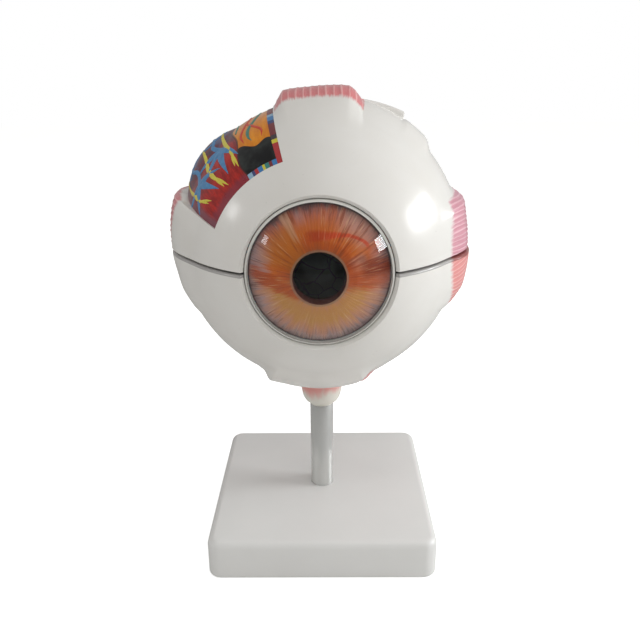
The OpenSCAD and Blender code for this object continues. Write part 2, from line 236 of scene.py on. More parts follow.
def ribs_of(muscle, theta, phi):
    """0 on a rib's narrow crest, 1 in the groove between two."""
    along = (wrapped(phi - muscle.mid) - muscle.slant * (theta - 60)) * PER_DEGREE
    sway = 0.35 * np.sin(theta * 0.21 + phi * 0.13)
    along = along + sway + 0.3 * np.sin(along * 0.9) * np.sin(theta * 0.17)
    share = (along / muscle.pitch) % 1
    from_crest = np.minimum(share, 1 - share) * muscle.pitch
    return 1 - np.exp(-(from_crest / 0.5) ** 2)


def depth_in_paint(muscle, theta, phi):
    """How far a place lies inside the muscle's painted part, in millimetres."""
    aside = wrapped(phi - muscle.mid)
    at, lean, curve = muscle.edge
    behind = theta - at - lean * aside - curve * aside**2
    inside = np.minimum(aside - muscle.across[0][0], muscle.across[-1][0] - aside) + 0.6
    return np.minimum(np.minimum(behind, inside), muscle.end + 1.5 - theta) * PER_DEGREE


def stump_height(muscle, theta, phi):
    """Height of a muscle's stump above the sclera, without its grooves."""
    along = ease((theta - muscle.front) / (muscle.full - muscle.front))
    cut = np.clip((muscle.end - theta) / 0.5, 0, 1) ** 0.5
    return along_section(muscle.across, wrapped(phi - muscle.mid)) * along * cut


# The superior oblique: a strap whose front wall stands on a low mound, then its flat tendon
OBLIQUE = dict(inner=-15.5, blunt=-33.5, outer=-49.5, mound=66.0, mound_full=86.0, wall=89.0, back=104.0)
MOUND_H, TENDON_H, STRAP_H = 2.3, 2.4, 3.4


def oblique_height(theta, phi):
    inner, blunt, outer, start, full, wall, back = OBLIQUE.values()
    mound = along_section([(outer, 0), (outer + 5, MOUND_H), (inner, MOUND_H), (-8, 0)], phi)
    mound = mound * ease((theta - start) / (full - start))
    strap = along_section([(blunt - 0.4, 0), (blunt + 0.6, STRAP_H), (inner, 0.2), (-8, 0)], phi, 0.3)
    strap = strap * ease((theta - wall) / 1.0)
    tendon = along_section([(outer, 0), (outer + 4, TENDON_H), (blunt - 1, TENDON_H), (blunt, 0)], phi)
    tendon = tendon * ease((theta - start - 4) / 16) * 0.35
    return (mound + strap + tendon) * ease((back - theta) / 2.5)


def in_window(theta, phi):
    front, back, inner, outer = WINDOW.values()
    return (theta > front) & (theta < back) & (phi > inner) & (phi < outer)


def sclera_radius(theta, phi, upper):
    """Radius of the outer surface of one half, at arrays of angles."""
    height = np.zeros(np.broadcast(theta, phi).shape)
    groove = np.zeros_like(height)
    for muscle in MUSCLES.values():
        if muscle.upper == upper:
            stump = stump_height(muscle, theta, phi)
            painted = np.clip(depth_in_paint(muscle, theta, phi) / 2, 0, 1)
            painted = painted * np.clip(stump / 1.5, 0, 1)
            groove = np.where(stump > height, RIB_DEPTH * painted * ribs_of(muscle, theta, phi), groove)
            height = np.maximum(height, stump)
    height = height - groove
    if upper:
        height = np.maximum(height, oblique_height(theta, wrapped(phi)))
        return np.where(in_window(theta, wrapped(phi)), WINDOW_R, EYE_R + height)
    return EYE_R + height


def squeezed(psi, rho, gap):
    """Draws the columns near the seam up to the plane that lies gap above the centre."""
    edge = np.degrees(np.arccos(np.clip(gap / np.maximum(rho, 1e-9), 0, 1)))
    kept = np.minimum(80.0, edge * 0.9)
    size = np.abs(psi)
    outer = kept + (size - kept) * (edge - kept) / np.maximum(90 - kept, 1e-9)
    return np.sign(psi) * np.where(size < kept, size, outer)


def rounded_seam(r, theta, psi, upper):
    """The radius, drawn in where the seam's outer edge is rounded off."""
    gap, edge_r = SEAM_GAP if upper else 0.0, SEAM_ROUND[upper]
    rho = r * math.sin(math.radians(theta))
    above = rho * np.cos(np.radians(squeezed(psi, rho, gap))) - gap
    short = np.clip(edge_r - above, 0, edge_r)
    return r - edge_r + np.sqrt(edge_r**2 - short**2)


def half_shell(name, upper):
    """Half of the sclera as one closed mesh: relief outside, sphere inside, flat seam."""
    middle, gap = (0.0, SEAM_GAP) if upper else (180.0, 0.0)
    muscles = [m for m in MUSCLES.values() if m.upper == upper]
    edges = [wrapped(m.mid + end[0] - middle) for m in muscles for end in (m.across[0], m.across[-1])]
    edges = [e for e in edges if abs(e) < 88] + [-90.0, 90.0]
    if upper:
        steps = [(-64.0, 0.34), (-50.0, 0.9), (19.0, 0.42), (64.0, 1.2), (90.0, 0.34)]
        edges += [WINDOW["inner"], WINDOW["outer"], OBLIQUE["blunt"]]
    else:
        steps = [(-62.0, 0.34), (-38.0, 0.5), (-33.0, 1.0), (33.0, 0.5), (62.0, 1.1), (90.0, 0.34)]
    psi = stations(-90.0, 90.0, steps, edges)
    first = math.degrees(math.asin(BEVEL_R / EYE_R))
    last = 180 - math.degrees(math.asin(min(1.0, gap / EYE_R)))
    ends = [m.end - 0.2 for m in muscles]
    if upper:
        ends += [WINDOW["front"], WINDOW["back"], OBLIQUE["wall"] + 0.5]
    theta = stations(first, last, [(56.0, 1.1), (116.0, 0.85), (180.0, 1.9)], ends)

    columns = len(psi)
    inner_s = math.sqrt(SCLERA_IN_R**2 - OPENING_R**2)
    bevel_s = math.sqrt(EYE_R**2 - BEVEL_R**2)
    wall = [(OPENING_R, inner_s), (OPENING_R, bevel_s - BEVEL_W)]
    for q in (0.06, 0.3, 0.6, 0.9):
        crown = 0.25 * math.sin(q * math.pi)
        wall.append((OPENING_R + BEVEL_W * q, bevel_s - BEVEL_W * (1 - q) + crown))
    rows = [(np.full(columns, rho), np.full(columns, s)) for rho, s in wall]
    for t in theta:
        r = sclera_radius(np.full(columns, t), wrapped(psi + middle), upper)
        r = rounded_seam(r, t, psi, upper)
        rows.append((r * math.sin(math.radians(t)), r * math.cos(math.radians(t))))
    outside = [round_axis(rho, s, squeezed(psi, rho, gap) + middle) for rho, s in rows]

    # The inside takes every fifth line of the outside
    thin_cols = sorted(set(range(0, columns, 5)) | {columns - 1})
    first_in = math.degrees(math.asin(OPENING_R / SCLERA_IN_R))
    thin_rows = [k for k in range(0, len(theta), 5) if theta[k] > first_in + 1.0]
    if thin_rows[-1] != len(theta) - 1:
        thin_rows.append(len(theta) - 1)
    inside = []
    for t in np.radians(theta[thin_rows]):
        rho = SCLERA_IN_R * math.sin(t)
        inside.append(round_axis(rho, SCLERA_IN_R * math.cos(t), squeezed(psi[thin_cols], rho, gap) + middle))

    points = np.concatenate(outside + inside)
    faces = grid_faces(len(outside), columns)
    base = len(outside) * columns
    thin = len(thin_cols)
    faces += [f[::-1] for f in grid_faces(len(inside), thin, base)]
    # The seam's flat faces close the shell at the back and along both sides
    for a in range(thin - 1):
        rim = list(range(thin_cols[a], thin_cols[a + 1] + 1))
        faces.append(tuple(rim[::-1] + [base + a, base + a + 1]))
    lead = len(wall)
    for side_out, side_in in ((0, 0), (columns - 1, thin - 1)):
        for a, b in [(None, 0)] + [(k, k + 1) for k in range(len(thin_rows) - 1)]:
            start = 0 if a is None else lead + thin_rows[a]
            stop = lead + thin_rows[b]
            ring = [i * columns + side_out for i in range(start, stop + 1)]
            ring.append(base + b * thin + side_in)
            if a is not None:
                ring.append(base + a * thin + side_in)
            faces.append(tuple(ring))
    return new_mesh(name, points, faces, SHARP_SHELL)


def cut_out(piece, tools):
    """Cuts the tools' shapes out of the piece and removes them."""
    for tool in tools:
        change = piece.modifiers.new("cut", "BOOLEAN")
        change.operation, change.object, change.solver = "DIFFERENCE", tool, "EXACT"
    depsgraph = bpy.context.evaluated_depsgraph_get()
    mesh = bpy.data.meshes.new_from_object(piece.evaluated_get(depsgraph))
    piece.modifiers.clear()
    piece.data = mesh
    mesh.shade_smooth()
    mesh.set_sharp_from_angle(angle=math.radians(SHARP_SHELL))
    for tool in tools:
        bpy.data.objects.remove(tool)


def turned_to(points, direction):
    """Points that lie round Z, turned to lie round the direction."""
    spin = np.array(Vector(direction).normalized().to_track_quat("Z", "Y").to_matrix())
    return points @ spin.T


def tube_tool(r, start, stop, direction=(0, 0, 1), centre=EYE_CENTRE, segments=96):
    """A closed cylinder to cut with, along the direction from the centre."""
    turn = np.radians(np.linspace(0, 360, segments, endpoint=False))
    circle = np.stack([r * np.cos(turn), r * np.sin(turn), np.zeros(segments)], -1)
    rings = [turned_to(circle + [0, 0, h], direction) + centre for h in (start, stop)]
    faces = grid_faces(2, segments, closed=True)
    faces += [tuple(range(segments)), tuple(range(segments, 2 * segments))]
    return new_mesh("tool", np.concatenate(rings), faces)


def paint_attributes(piece, upper):
    """Stores where the muscles' paint goes on a half of the sclera, as numbers on its points."""
    mesh = piece.data
    co = np.zeros(len(mesh.vertices) * 3)
    mesh.vertices.foreach_get("co", co)
    theta, phi, r = angles_of(co.reshape(-1, 3) / MM)
    outside = r > EYE_R - 1.2
    flesh, groove, tone, cut = np.full(len(theta), -9.0), *(np.zeros(len(theta)) for _ in range(3))
    for muscle in MUSCLES.values():
        if muscle.upper == upper:
            on_stump = 3.0 * (along_section(muscle.across, wrapped(phi - muscle.mid)) - 0.9)
            depth = np.minimum(depth_in_paint(muscle, theta, phi), on_stump)
            depth = np.where(outside, depth, -9.0)
            here = depth > flesh
            groove = np.where(here, ribs_of(muscle, theta, phi), groove)
            tone = np.where(here, muscle.tone, tone)
            flesh = np.maximum(flesh, depth)
            behind = (theta > muscle.end - 0.45) & (theta < muscle.end + 1)
            cut = np.maximum(cut, (behind & (depth > -1) & (r > EYE_R + 0.1)) * 1.0)
    for name, values in (("flesh", flesh), ("groove", groove), ("tone", tone), ("cut_end", cut)):
        layer = mesh.attributes.new(name, "FLOAT", "POINT")
        layer.data.foreach_set("value", values.astype(np.float32))


# --------------------------------------------------------------------- materials

DEGREES = 180 / math.pi
SMOOTH = "SMOOTHSTEP"


def rgb(r, g, b):
    """A colour as the eye sees it, 0 to 255, in the linear values that shaders take."""
    shares = (c / 255 for c in (r, g, b))
    return tuple(((c + 0.055) / 1.055) ** 2.4 if c > 10 / 255 else c / 12.92 for c in shares) + (1.0,)


class Value:
    """A node's output, which adds, subtracts, multiplies and divides like a number."""

    def __init__(self, nodes, socket):
        self.nodes, self.socket = nodes, socket

    def __add__(self, other):
        return self.nodes.math("ADD", self, other)

    def __sub__(self, other):
        return self.nodes.math("SUBTRACT", self, other)

    def __rsub__(self, other):
        return self.nodes.math("SUBTRACT", other, self)

    def __mul__(self, other):
        return self.nodes.math("MULTIPLY", self, other)

    def __truediv__(self, other):
        return self.nodes.math("DIVIDE", self, other)

    def __abs__(self):
        return self.nodes.math("ABSOLUTE", self)


class Nodes:
    """A node tree that is built by calls."""

    def __init__(self, tree):
        self.tree = tree

    def put(self, value, socket):
        if isinstance(value, Value):
            self.tree.links.new(value.socket, socket)
        else:
            socket.default_value = float(value) if np.ndim(value) == 0 else value

    def node(self, kind, inputs=None, out=0, **settings):
        """Adds a node with its settings, then its inputs, and returns one of its outputs."""
        node = self.tree.nodes.new("ShaderNode" + kind)
        for key, value in settings.items():
            setattr(node, key, value)
        for key, value in (inputs or {}).items():
            self.put(value, node.inputs[key])
        return Value(self, node.outputs[out])

    def math(self, operation, *values):
        return self.node("Math", dict(enumerate(values)), operation=operation)

    def combine(self, x, y, z=0.0):
        return self.node("CombineXYZ", {0: x, 1: y, 2: z})

    def split(self, vector):
        first = self.node("SeparateXYZ", {0: vector})
        return [Value(self, socket) for socket in first.socket.node.outputs]

    def spread(self, value, low, high, start, stop, **settings):
        """Maps the value from low to high onto start to stop."""
        inputs = {"Value": value, "From Min": low, "From Max": high, "To Min": start, "To Max": stop}
        return self.node("MapRange", inputs, "Result", **settings)

    def stack(self, share, below, above):
        """One shader over another by a share."""
        return self.node("MixShader", {0: share, 1: below, 2: above})

    def seen_directly(self):
        """1 for what the camera sees straight or through clear plastic."""
        return self.math("MAXIMUM", self.ray("Camera"), self.ray("Transmission"))

    def ray(self, kind):
        return self.node("LightPath", out=f"Is {kind} Ray")


class Paint(Nodes):
    """One material, built node by node."""

    def __init__(self, name, roughness=0.3, metallic=0.0):
        self.material = bpy.data.materials.new(name)
        self.material.use_nodes = True
        super().__init__(self.material.node_tree)
        self.output = self.tree.nodes["Material Output"]
        self.set("Roughness", roughness)
        self.set("Metallic", metallic)

    def set(self, name, value):
        self.put(value, self.tree.nodes["Principled BSDF"].inputs[name])

    def place(self):
        """The point's place in the row frame at rest, in millimetres, as x, y, z."""
        coordinates = self.node("TexCoord", out="Object")
        self.where = self.node("VectorMath", {0: coordinates, "Scale": 1 / MM}, operation="SCALE")
        return self.split(self.where)

    def eye_angles(self):
        """theta and phi in degrees, and rho, the distance from the pupil's axis."""
        x, y, z = self.place()
        z = z - EYE_Z
        rho = self.math("SQRT", x * x + z * z)
        theta = self.math("ARCTAN2", rho, y * -1.0) * DEGREES
        return theta, self.math("ARCTAN2", x * -1.0, z) * DEGREES, rho

    def attribute(self, name):
        return self.node("Attribute", out="Fac", attribute_name=name)

    def noise(self, vector, scale, detail=3.0, roughness=0.55):
        inputs = {"Vector": vector, "Scale": scale, "Detail": detail, "Roughness": roughness}
        return self.node("TexNoise", inputs, "Fac")

    def voronoi(self, vector, scale, feature="F1"):
        return self.node("TexVoronoi", {"Vector": vector, "Scale": scale}, "Distance", feature=feature)

    def step(self, value, low, high):
        """0 below low, 1 above high, smooth between. low above high turns it round."""
        flip = low > high
        return self.spread(value, min(low, high), max(low, high), flip, not flip, interpolation_type=SMOOTH)

    def near(self, value, middle, half):
        """1 within 0.7 half of the middle, falling to 0 at twice half."""
        return self.step(abs(value - middle), 2.0 * half, 0.7 * half)

    def mix(self, share, a, b):
        return self.node("Mix", {0: share, 6: a, 7: b}, 2, data_type="RGBA")

    def ramp(self, share, stops, interpolation="LINEAR"):
        """stops is [(place, red, green, blue)]."""
        out = self.node("ValToRGB", {0: share})
        band = out.socket.node.color_ramp
        band.interpolation = interpolation
        while len(band.elements) < len(stops):
            band.elements.new(1.0)
        for element, (at, *colour) in zip(band.elements, stops):
            element.position, element.color = at, rgb(*colour)
        return out

    def rough(self, share, low, high):
        self.set("Roughness", self.spread(share, 0.0, 1.0, low, high))

    def bump(self, height, strength, distance=0.1):
        inputs = {"Height": height, "Strength": strength, "Distance": distance * MM}
        self.set("Normal", self.node("Bump", inputs))

    def colour(self, value):
        self.set("Base Color", value)

    def dress(self, piece):
        piece.data.materials.clear()
        piece.data.materials.append(self.material)


def sclera_paint():
    p = Paint("sclera_paint", roughness=0.2)
    theta, phi, rho = p.eye_angles()
    cloud = p.noise(p.where, 0.035, 4.0)
    specks = p.step(p.noise(p.where, 0.9, 1.0), 0.79, 0.82)
    white = p.mix(cloud, rgb(221, 218, 212), rgb(230, 229, 226))
    white = p.mix(specks * 0.35, white, rgb(150, 145, 140))
    brush = p.noise(p.combine(phi * 1.1, theta * 0.16), 1.0, 5.0, 0.65)
    fine = p.noise(p.combine(phi * 5.0, theta * 0.7), 1.0, 3.0)
    tone, inside = p.attribute("tone"), p.attribute("flesh")
    deep = p.ramp(tone, [(0.0, 218, 140, 138), (0.5, 212, 122, 124), (1.0, 205, 145, 158)])
    light = p.ramp(tone, [(0.0, 232, 174, 168), (0.5, 236, 176, 174), (1.0, 230, 186, 196)])
    # Painted shade: the ribs' grooves take the darker pink and their crests the lighter, with fine streaks
    # mixed in
    flesh = p.mix(p.step(p.attribute("groove") + fine * 0.5, 0.2, 0.95), light, deep)
    flesh = p.mix(p.step(brush, 0.45, 0.75) * 0.4, flesh, p.mix(0.5, light, deep))
    flesh = p.mix(p.step(brush, 0.5, 0.25) * 0.35, flesh, deep)
    pink = p.step(inside + (brush - 0.5) * 7.0, -1.6, 2.6) * p.step(inside, -2.6, -0.6)
    cut = p.mix(p.noise(p.where, 1.6, 4.0), rgb(150, 44, 46), rgb(206, 104, 100))
    colour = p.mix(p.attribute("cut_end"), p.mix(pink, white, flesh), cut)
    # Painted shade: the lower half's rounded edge along the seam is painted grey, and dark red where the pink
    # crosses it, for the shade in the seam's gap
    level = rho * p.math("COSINE", phi / DEGREES)
    seam_gap_shade = p.step(abs(level + 0.45), 1.1, 0.7)
    p.colour(p.mix(seam_gap_shade * 0.8, colour, p.mix(pink, rgb(150, 147, 146), rgb(120, 50, 48))))
    p.rough(cloud, 0.16, 0.27)
    p.bump(p.noise(p.where, 0.6, 2.0) + fine * (pink * 1.5), 0.1, 0.12)
    return p


def base_paint():
    p = Paint("base_plastic", roughness=0.34)
    p.place()
    p.colour(p.mix(p.noise(p.where, 0.02, 4.0), rgb(219, 219, 217), rgb(229, 229, 227)))
    p.rough(p.noise(p.where, 0.15, 3.0), 0.28, 0.4)
    p.bump(p.noise(p.where, 0.5, 3.0), 0.06, 0.15)
    return p


def chrome_paint():
    p = Paint("chrome", roughness=0.2, metallic=0.62)
    x, y, z = p.place()
    x, y = x * 0.3, y * 0.3
    wipe = p.noise(p.combine(x, y, z * 0.06), 1.0, 5.0)
    p.colour(p.mix(wipe, rgb(206, 207, 205), rgb(222, 223, 221)))
    p.rough(wipe, 0.16, 0.26)
    p.bump(p.noise(p.combine(x, y, z * 9.0), 1.0, 2.0), 0.04, 0.05)
    return p


def steel_paint():
    p = Paint("turned_steel", metallic=1.0)
    turned = p.noise(p.combine(0.0, 0.0, p.place()[2] * 6.0), 1.0, 3.0)
    p.colour(p.mix(turned, rgb(150, 150, 152), rgb(186, 186, 188)))
    p.rough(p.noise(p.where, 0.8, 3.0), 0.24, 0.42)
    p.bump(turned, 0.12, 0.05)
    return p


def collar_paint(low, high):
    """White at the foot, with pink brushed round the top."""
    p = Paint("collar_paint", roughness=0.28)
    x, y, z = p.place()
    brush = p.noise(p.combine(x * 0.25, y * 0.25, z * 0.06), 1.0, 4.0)
    share = (z - low) / (high - low) + p.step(x, 9.0, -7.0) * 0.2 + (brush - 0.5) * 0.9
    white = p.mix(p.noise(p.where, 0.1, 3.0), rgb(222, 217, 204), rgb(230, 228, 222))
    pink = p.mix(brush, rgb(214, 112, 110), rgb(234, 158, 150))
    p.colour(p.mix(p.step(share, 0.4, 0.95) * 0.85, white, pink))
    p.bump(brush, 0.15, 0.2)
    return p


def iris_paint(edge_r, pupil_r):
    """Painted fibres: amber and burnt orange inside, pink and grey towards the edge."""
    p = Paint("iris_paint", roughness=0.35)
    _, phi, rho = p.eye_angles()
    out = (rho - pupil_r) / (edge_r - pupil_r)
    turn = phi / DEGREES
    left, up = p.math("SINE", turn), p.math("COSINE", turn)

    def streaks(fineness, length, detail=3.0, shift=0.0):
        return p.noise(p.combine(left * fineness, up * fineness, rho * length + shift), 1.0, detail, 0.6)

    broad, fibre, hair = streaks(2.2, 0.05), streaks(13.0, 0.05, 4.0), streaks(48.0, 0.1, 2.0)
    uneven = fibre - 0.5
    wander = out + uneven * 0.7
    height = up * rho + (broad - 0.5) * 16.0 + uneven * 8.0
    level = up * rho + uneven * 9.0
    upper = p.ramp(wander, [
        (0.0, 166, 82, 34), (0.2, 194, 84, 16), (0.42, 208, 102, 22), (0.62, 208, 106, 48),
        (0.8, 196, 104, 72), (0.94, 160, 98, 88), (1.0, 122, 84, 82),
    ])
    lower = p.ramp(wander, [
        (0.0, 204, 140, 98), (0.14, 206, 142, 78), (0.42, 206, 144, 74), (0.6, 208, 144, 104),
        (0.78, 198, 142, 122), (0.92, 174, 142, 138), (1.0, 148, 120, 120),
    ])
    # Burnt orange wedges lie along the horizontal, widest at the pupil, darker at the nose side
    wedge_left = p.near(level - (out * 9.5 - 7.0), 0.0, 2.6) * p.step(phi, 30.0, 60.0) * p.step(out, 1.1, 0.8)
    wedge_right = p.near(level, 0.5, 4.5) * p.step(phi, -40.0, -62.0) * p.step(out, 1.15, 0.85)
    dusk = p.near(level, 4.5, 3.4) * p.step(phi, -45.0, -62.0) * p.step(out, 0.25, 0.5)
    # A red orange arc over the pupil's upper outer side
    arc_r = p.step(phi, -5.0, -60.0) * 6.5 + 18.6 + uneven * 1.0
    arc_half = p.step(phi, -45.0, 12.0) * 1.5 + 0.7
    arc_band = p.step(abs(rho - arc_r) / arc_half, 1.5, 0.5)
    arc_band = arc_band * p.step(phi, 26.0, 6.0) * p.step(phi, -66.0, -52.0)

    colour = p.mix(p.step(height, -9.0, 3.0), lower, upper)
    for mask, share, paint in (
        # Lilac streaks, the pale places by their angle, and an amber one
        (p.step(out, 0.5, 0.9) * p.step(streaks(3.0, 0.03, 3.0, 7.0), 0.5, 0.62), 0.35, rgb(196, 164, 162)),
        (p.near(phi, 76.0, 11.0) * p.step(wander, 0.45, 0.75), 0.7, rgb(184, 156, 156)),
        (p.near(phi, 31.0, 2.6) * p.step(wander, 0.25, 0.5), 0.6, rgb(218, 176, 144)),
        # Painted reflection: a pale patch on the nose side near the pupil, for the window light's haze on the
        # cornea
        (p.near(phi, -72.0, 8.0) * p.near(out, 0.32, 0.13), 0.6, rgb(206, 168, 150)),
        (p.near(phi, -38.0, 13.0) * p.step(out, 0.3, 0.75), 0.55, rgb(204, 160, 146)),
        (p.near(phi, 52.0, 17.0) * p.step(out, 0.95, 0.6), 0.6, rgb(196, 112, 22)),
        (p.math("MAXIMUM", wedge_left, wedge_right), 0.85, p.mix(fibre, rgb(166, 52, 4), rgb(206, 92, 12))),
        (dusk, 0.8, p.mix(hair, rgb(78, 18, 12), rgb(170, 62, 18))),
        (arc_band, 0.85, p.mix(p.step(phi, -30.0, 10.0), rgb(216, 66, 26), rgb(184, 58, 4))),
        # Dark and pale single fibres
        (p.step(fibre, 0.46, 0.34) * p.step(height, -14.0, 4.0), 0.55, rgb(132, 46, 8)),
        (p.step(hair, 0.44, 0.32) * p.step(out, 0.45, 0.95), 0.7, rgb(84, 48, 44)),
        (p.step(hair, 0.58, 0.72) * p.step(out, 0.1, 0.4), 0.45, rgb(238, 196, 150)),
        # The ring at the pupil, the dark limbus and the pupil's very edge
        (p.step(out, 0.07, 0.035), 0.75, rgb(150, 116, 92)),
        (p.step(out, 0.955, 1.0), 0.85, rgb(84, 66, 68)),
        (p.step(rho, pupil_r + 0.12, pupil_r + 0.04), 0.9, rgb(70, 16, 18)),
    ):
        colour = p.mix(mask * share, colour, paint)
    p.colour(colour)
    p.rough(fibre, 0.3, 0.5)
    p.bump(fibre + hair, 0.3, 0.2)
    return p


def clear_paint(name, tint, coat=1.0):
    """Clear plastic: light goes straight through, and gloss comes on top by angle, outside."""
    p = Paint(name, roughness=0.03)
    p.place()
    p.colour(p.mix(p.noise(p.where, 0.05, 2.0), tint, rgb(255, 255, 255)))
    grazing = p.math("POWER", p.node("LayerWeight", {"Blend": 0.5}, "Facing"), 5.0)
    outer = 1.0 - p.node("NewGeometry", out="Backfacing")
    share = (grazing * (0.96 * coat) + 0.04 * coat) * outer
    see, gloss = p.node("BsdfTransparent", {"Color": tint}), p.node("BsdfGlossy", {"Roughness": 0.03})
    p.put(p.stack(share, see, gloss), p.output.inputs["Surface"])
    return p


def choroid_paint():
    """Dark red with a net of vessels outside, orange with a few vessels inside."""
    p = Paint("choroid_paint", roughness=0.35)
    p.place()
    size = p.node("VectorMath", {0: p.where, 1: (0.0, 0.0, float(EYE_Z))}, "Value", operation="DISTANCE")
    warp = p.noise(p.where, 0.05, 3.0)
    shift = p.combine(warp * 18.0, warp * -11.0, warp * 14.0)
    bent = p.node("VectorMath", {0: p.where, 1: shift}, operation="ADD")
    net, thin_net = (p.voronoi(bent, scale, "DISTANCE_TO_EDGE") for scale in (0.085, 0.2))
    red = p.mix(p.noise(p.where, 0.2, 4.0), rgb(104, 26, 24), rgb(158, 50, 42))
    red = p.mix(p.step(thin_net, 0.08, 0.03), red, rgb(190, 44, 36))
    red = p.mix(p.step(net, 0.065, 0.035), red, rgb(52, 104, 158))
    retina = p.mix(p.noise(p.where, 0.08, 4.0), rgb(206, 128, 46), rgb(224, 152, 66))
    retina = p.mix(p.step(net, 0.035, 0.015), retina, rgb(186, 50, 30))
    p.colour(p.mix(p.step(size, CHOROID_R - 2.4, CHOROID_R - 1.2), retina, red))
    p.bump(p.step(net, 0.12, 0.02), 0.4, 0.4)
    return p


def ciliary_paint():
    p = Paint("ciliary_paint", roughness=0.4)
    _, phi, _ = p.eye_angles()
    around = (p.math(name, phi / DEGREES) * 40.0 for name in ("SINE", "COSINE"))
    folds = p.noise(p.combine(*around), 1.0, 2.0)
    p.colour(p.mix(p.step(folds, 0.35, 0.65), rgb(58, 30, 22), rgb(128, 70, 44)))
    p.bump(folds, 0.3, 0.3)
    return p


def plain_paint(name, low, high, roughness=0.35, scale=0.4, relief=0.12):
    """Brushed paint of one colour, with its own darker and lighter strokes."""
    p = Paint(name, roughness)
    p.place()
    stroke = p.noise(p.where, scale, 4.0, 0.6)
    p.colour(p.mix(stroke, rgb(*low), rgb(*high)))
    p.bump(stroke, relief, 0.15)
    return p


def nerve_paint(name, low, high):
    """Bundled fibres, packed as round cells across the cut and as lines along the nerve."""
    p = Paint(name, roughness=0.35)
    p.place()
    cells = p.voronoi(p.where, 0.75)
    p.colour(p.mix(p.step(cells + p.noise(p.where, 1.1, 4.0) * 0.4, 0.35, 0.95), rgb(*high), rgb(*low)))
    p.bump(1.0 - cells, 0.35, 0.3)
    return p


# ----------------------------------------------------------------- the window panel

# The panel's edges, its two bands and the line between retina and choroid, with its waves
PANEL_IN, PANEL_OUT = WINDOW["inner"] + 0.04, WINDOW["outer"] - 0.04
PANEL_FRONT, PANEL_BACK = WINDOW["front"] + 0.04, WINDOW["back"] - 0.04
BAND_PHI, BAND_THETA, LAYER_PHI = 20.8, 47.3, 36.0
EDGE_WAVES = ((1.2, 46, 0.22), (0.8, 40, 0.09))


def layer_edge(theta):
    """phi where the retina layer ends and the choroid shows."""
    return LAYER_PHI + sum(size * np.sin((theta - start) * rate) for size, start, rate in EDGE_WAVES)


def panel_radius(theta, phi):
    """Surface of the painted panel: bands, the two layers and the swelling choroid."""
    t, p = np.radians(SWELL_PLACE[0]), np.radians(SWELL_PLACE[1])
    axis = np.array([-np.sin(t) * np.sin(p), -np.cos(t), np.sin(t) * np.cos(p)])
    way = on_eye(theta, phi, 1.0) - EYE_CENTRE
    out = EYE_R + SWELL_CROWN - SWELL_R
    near = way @ axis
    swell = out * near + np.sqrt(np.maximum(SWELL_R**2 - out**2 * (1 - near**2), 0))
    swell = np.where(out**2 * (1 - near**2) < SWELL_R**2, swell, 0)
    floor = WINDOW_R + 0.25
    choroid = floor + 0.2 + 0.5 * (np.sqrt((swell - floor) ** 2 + 1.5) + (swell - floor))
    choroid = np.minimum(choroid, EYE_R + SWELL_CROWN - 0.05)
    retina = floor + 0.55
    past_edge = ease((phi - layer_edge(theta)) / 4.0 + 0.4)
    surface = retina + (choroid - retina) * past_edge
    band = (phi < BAND_PHI) | ((theta < BAND_THETA) & (phi < LAYER_PHI + 1))
    return np.where(band, floor + 0.75, surface)


def window_panel():
    phi = stations(PANEL_IN, PANEL_OUT, [(90.0, 0.45)], [BAND_PHI])
    theta = stations(PANEL_FRONT, PANEL_BACK, [(112.0, 0.55)], [BAND_THETA])
    grid_t, grid_p = np.meshgrid(theta, phi, indexing="ij")
    top = on_eye(grid_t, grid_p, panel_radius(grid_t, grid_p))
    floor = on_eye(grid_t, grid_p, np.full(grid_t.shape, WINDOW_R - 0.1))
    rows, cols = grid_t.shape
    faces = grid_faces(rows, cols) + [f[::-1] for f in grid_faces(rows, cols, rows * cols)]
    rim = [(0, j) for j in range(cols)] + [(i, cols - 1) for i in range(1, rows)]
    rim += [(rows - 1, j) for j in range(cols - 2, -1, -1)] + [(i, 0) for i in range(rows - 2, 0, -1)]
    index = [i * cols + j for i, j in rim]
    for a, b in zip(index, index[1:] + index[:1]):
        faces.append((a, a + rows * cols, b + rows * cols, b))
    points = np.concatenate([top.reshape(-1, 3), floor.reshape(-1, 3)])
    return new_mesh("window_panel", points, faces, sharp=40.0)


PALE_BLUE, BLUE, DEEP_BLUE, TEAL = (140, 180, 206), (44, 122, 184), (30, 56, 116), (30, 128, 124)
RED, MAROON, YELLOW, DUSK = (176, 36, 44), (116, 26, 40), (214, 202, 50), (52, 44, 56)


